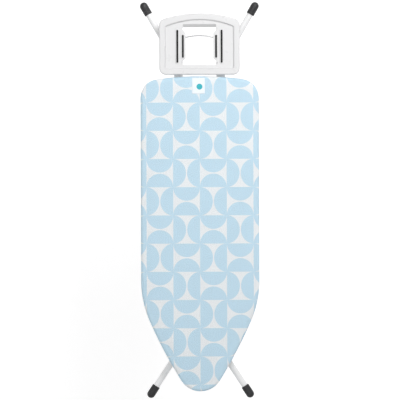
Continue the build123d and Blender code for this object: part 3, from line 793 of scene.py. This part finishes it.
def make_label_stitches(tree, material):
    """A run of stitches just inside the label's edge."""
    inset = 1.8 * MM
    pitch = 3.2 * MM
    length = pitch * 0.72
    radius = 0.22 * MM
    lift = 0.32 * MM
    low = Vector((label_low[0] + inset, label_low[1] + inset))
    high = Vector((label_high[0] - inset, label_high[1] - inset))
    corners = [low, Vector((high.x, low.y)), high, Vector((low.x, high.y))]
    points = []
    faces = []
    for index, start in enumerate(corners):
        end = corners[(index + 1) % 4]
        run = (end - start).length
        along = (end - start).to_3d() / run
        for step in range(1, int(run / pitch)):
            spot = start + (end - start) * step * pitch / run
            z = laid_height(tree, spot.x, spot.y) + lift
            stitch(points, faces, Vector((spot.x, spot.y, z)), along, length, radius)
    return add_piece("label_stitches", points, faces, material)


def make_hem_stitches(material):
    """A run of stitches along the binding, underneath."""
    pitch = 5.0 * MM
    length = pitch * 0.7
    radius = 0.25 * MM
    under_tape = 1.35 * MM
    points = []
    faces = []
    count = len(OUTLINE)
    travelled = 0.0
    due = 0.0
    for index in range(count):
        point, normal = OUTLINE[index]
        after, _ = OUTLINE[(index + 1) % count]
        run = (after - point).length
        while due < travelled + run:
            spot = point + (after - point) * (due - travelled) / run
            spot = spot - normal * TAPE_MIDDLE
            wave = HEM_WAVE * pucker(due)
            along = Vector((-normal.y, normal.x, 0))
            z = cover_low[2] - under_tape + wave
            stitch(points, faces, Vector((spot.x, spot.y, z)), along, length, radius)
            due += pitch
        travelled += run
    return add_piece("hem_stitches", points, faces, material)


# --- Stage ----------------------------------------------------------------------------------------
def standing_floor():
    """Height of the floor under the feet once the legs are fully open."""
    fold = next(joint for joint in frame["joints"] if joint["name"] == "legs_fold")
    hinge = Vector(fold["pos_m"])
    turn = Matrix.Rotation(math.radians(fold["range_deg"][1]), 3, Vector(fold["axis"]))
    foot = frame["nodes"]["outer_foot_cap_left"].data.vertices
    return min((hinge + turn @ (corner.co - hinge)).z for corner in foot)


def make_floor():
    """A plain pale floor, low enough for the board to stand on its opened legs."""
    size = 60.0
    pale = (0.7, 0.7, 0.7)
    glow = 0.52
    gap = 0.5 * MM
    net = bmesh.new()
    bmesh.ops.create_grid(net, x_segments=8, y_segments=8, size=size / 2)
    mesh = bpy.data.meshes.new("studio_floor")
    net.to_mesh(mesh)
    net.free()
    made = Finish("studio_floor_pale", pale, 0.9, Specular_IOR_Level=0.1)
    made.shader.inputs["Emission Color"].default_value = (1.0, 1.0, 1.0, 1.0)
    made.shader.inputs["Emission Strength"].default_value = glow
    made.colour(made.mix(made.noise(0.6), pale, (0.68, 0.68, 0.685)))
    mesh.materials.append(made.material)
    floor = bpy.data.objects.new("studio_floor", mesh)
    floor.location.z = standing_floor() - gap
    bpy.context.collection.objects.link(floor)


def add_softbox(name, place, size, energy):
    """A square area light aimed at the middle of the board."""
    data = bpy.data.lights.new(name, "AREA")
    data.shape = "SQUARE"
    data.size = size
    data.energy = energy
    light = bpy.data.objects.new(name, data)
    light.location = place
    light.rotation_euler = (-Vector(place)).to_track_quat("-Z", "Y").to_euler()
    bpy.context.collection.objects.link(light)


def make_lights():
    """Soft high-key studio light, strongest from beyond the iron rest."""
    world = bpy.data.worlds.new("studio_world")
    world.use_nodes = True
    tree = world.node_tree
    background = tree.nodes["Background"]
    background.inputs["Color"].default_value = (1.0, 1.0, 1.0, 1.0)
    direction = tree.nodes.new("ShaderNodeSeparateXYZ")
    tree.links.new(tree.nodes.new("ShaderNodeTexCoord").outputs["Generated"], direction.inputs[0])
    brightness = tree.nodes.new("ShaderNodeMath")
    brightness.operation = "ADD"
    # Each holds two heights of a direction's Z, then the brightness at each of them.
    overhead = (0.0, 1.0, 0.2, 0.7)
    white_horizon = (0.05, 0.12, 0.8, 0.0)
    for index, span in enumerate((overhead, white_horizon)):
        part = tree.nodes.new("ShaderNodeMapRange")
        for socket, value in zip(list(part.inputs)[1:5], span):
            socket.default_value = value
        tree.links.new(direction.outputs["Z"], part.inputs["Value"])
        tree.links.new(part.outputs[0], brightness.inputs[index])
    tree.links.new(brightness.outputs[0], background.inputs["Strength"])
    bpy.context.scene.world = world
    add_softbox("key_softbox", place=(2.2, -1.1, 2.6), size=1.2, energy=61.0)
    add_softbox("top_softbox", place=(0.3, 0.3, 3.4), size=3.0, energy=32.0)
    bpy.context.scene.view_settings.view_transform = "Standard"


def make_camera():
    """A long lens straight above the board, nose towards the picture's lower edge."""
    height = 20.0
    view_width = 1.588
    roll = math.radians(0.2)
    data = bpy.data.cameras.new("camera")
    data.lens = data.sensor_width * height / view_width
    camera = bpy.data.objects.new("camera", data)
    camera.location = (0.0, 0.0, height + cad_high[2])
    camera.rotation_euler = (0.0, 0.0, -math.pi / 2 - roll)
    bpy.context.collection.objects.link(camera)
    bpy.context.scene.camera = camera


# --- Build ----------------------------------------------------------------------------------------
finish_cad_nodes()
make_floor()
make_lights()
make_camera()

thread = thread_cotton()
cover = make_cover(CAD_FINISHES["cover_fabric"])
binding = make_binding(binding_tape())
hem_stitches = make_hem_stitches(thread)
pad = make_pad(CAD_FINISHES["foam"])
surface = surface_tree(cover)
label = make_label(surface, CAD_FINISHES["label_fabric"])
label_stitches = make_label_stitches(surface, thread)

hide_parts("cover_cloth")
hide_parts("foam_pad")
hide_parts("cover_label")
